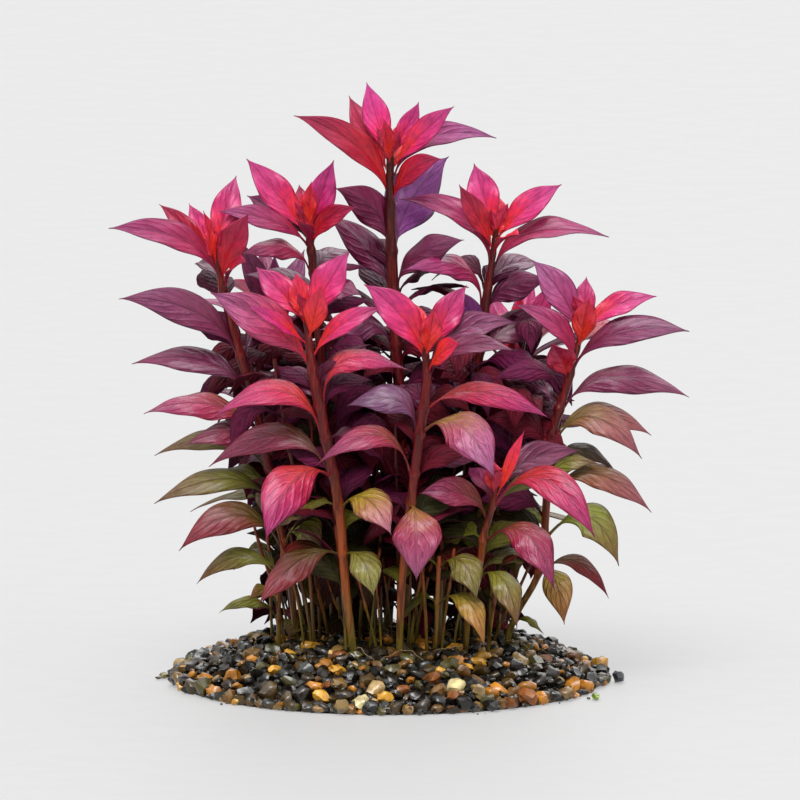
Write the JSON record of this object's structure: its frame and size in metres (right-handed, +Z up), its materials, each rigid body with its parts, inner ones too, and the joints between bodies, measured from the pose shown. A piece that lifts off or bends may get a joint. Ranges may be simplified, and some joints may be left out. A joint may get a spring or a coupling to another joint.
{
  "type": "alternanthera sessilis plant in a heap of gravel",
  "caption": "Bushy red and purple aquarium plant: upright stems with opposite pointed leaves and bright crowns, standing in a low flat-bottomed heap of gravel.",
  "frame": {"origin": "the middle of the gravel heap's flat underside, on the surface that it lies on", "axes": "+Z up along the stems; -Y towards the side that the picture shows; +X to that view's right"},
  "size_m": [0.232, 0.1725, 0.239],
  "materials": {
    "stem": "satin",
    "young_leaf": "satin",
    "purple_leaf": "satin",
    "olive_leaf": "satin",
    "gravel": "gloss"
  },
  "bodies": {
    "root": {"crown_back_left": "young_leaf", "crown_back_right": "young_leaf", "crown_centre_left": "young_leaf", "crown_front_centre": "young_leaf", "crown_front_left": "young_leaf", "crown_left_top": "young_leaf", "crown_low_right": "young_leaf", "crown_right_side": "young_leaf", "crown_right_top": "young_leaf", "crown_top_centre": "young_leaf", "gravel_heap": "gravel", "leaves_back_left_1": "purple_leaf", "leaves_back_left_2": "olive_leaf", "leaves_back_right_1": "olive_leaf", "leaves_back_right_2": "olive_leaf", "leaves_centre_left_1": "purple_leaf", "leaves_centre_left_2": "purple_leaf", "leaves_front_centre_1": "purple_leaf", "leaves_front_centre_2": "purple_leaf", "leaves_front_centre_3": "olive_leaf", "leaves_front_centre_4": "olive_leaf", "leaves_front_left_1": "purple_leaf", "leaves_front_left_2": "purple_leaf", "leaves_front_left_3": "olive_leaf", "leaves_front_left_4": "olive_leaf", "leaves_front_left_5": "olive_leaf", "leaves_left_top_1": "purple_leaf", "leaves_left_top_2": "purple_leaf", "leaves_left_top_3": "purple_leaf", "leaves_left_top_4": "olive_leaf", "leaves_left_top_5": "olive_leaf", "leaves_low_right_1": "olive_leaf", "leaves_low_right_2": "olive_leaf", "leaves_right_side_1": "purple_leaf", "leaves_right_side_2": "purple_leaf", "leaves_right_side_3": "olive_leaf", "leaves_right_side_4": "olive_leaf", "leaves_right_side_5": "olive_leaf", "leaves_right_top_1": "purple_leaf", "leaves_right_top_2": "purple_leaf", "leaves_right_top_3": "purple_leaf", "leaves_top_centre_1": "purple_leaf", "leaves_top_centre_2": "purple_leaf", "leaves_top_centre_3": "purple_leaf", "leaves_top_centre_4": "purple_leaf", "sprout_back_low": "olive_leaf", "sprout_left_low": "olive_leaf", "sprout_small_centre": "olive_leaf", "stem_back_left": "stem", "stem_back_right": "stem", "stem_centre_left": "stem", "stem_front_centre": "stem", "stem_front_left": "stem", "stem_left_top": "stem", "stem_low_right": "stem", "stem_right_side": "stem", "stem_right_top": "stem", "stem_top_centre": "stem", "stray_pebble": "gravel"}
  },
  "joints": []
}
